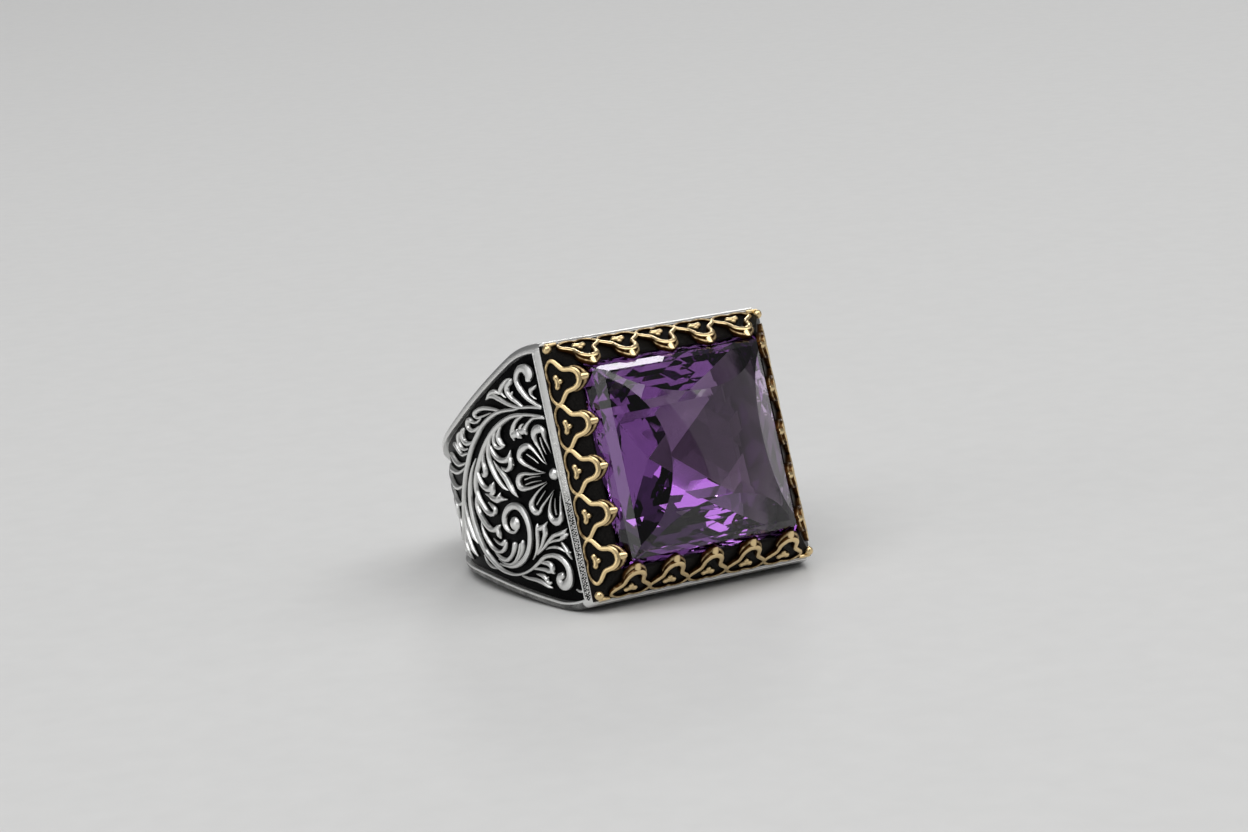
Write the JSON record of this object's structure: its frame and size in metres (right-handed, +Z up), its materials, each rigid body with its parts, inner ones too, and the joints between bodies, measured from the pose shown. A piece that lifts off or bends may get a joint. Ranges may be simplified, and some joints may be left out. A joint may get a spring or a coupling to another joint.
{
  "type": "cocktail ring",
  "caption": "Silver signet-style ring with scroll shoulders, a pierced brass heart gallery with claws and a domed square purple stone.",
  "frame": {"origin": "centre of the finger bore, on its axis, midway along it", "axes": "the pose in which the ring lies on a table: +Z up, +X across the head, the head faces -Y and leans back, the finger axis leans 17.22 degrees from +Z towards +Y"},
  "size_m": [0.025, 0.0325, 0.0208],
  "materials": {
    "silver": "polished 925 silver, blackened in the recesses of the scrollwork",
    "oxidised_silver": "oxidised silver, matt black",
    "bearing_silver": "plain silver, as soldered",
    "amethyst": "polished, faceted, transparent purple",
    "gallery_brass": "polished brass with brown patina in the hollows"
  },
  "bodies": {
    "root": {"shank": "silver", "bezel_collar": "oxidised_silver", "stone_bearing": "bearing_silver", "stone": "amethyst", "crown_strip_left": "gallery_brass", "crown_strip_right": "gallery_brass", "crown_strip_top": "gallery_brass", "crown_strip_bottom": "gallery_brass", "trefoil_studs": "gallery_brass", "corner_beads": "gallery_brass"}
  },
  "joints": []
}
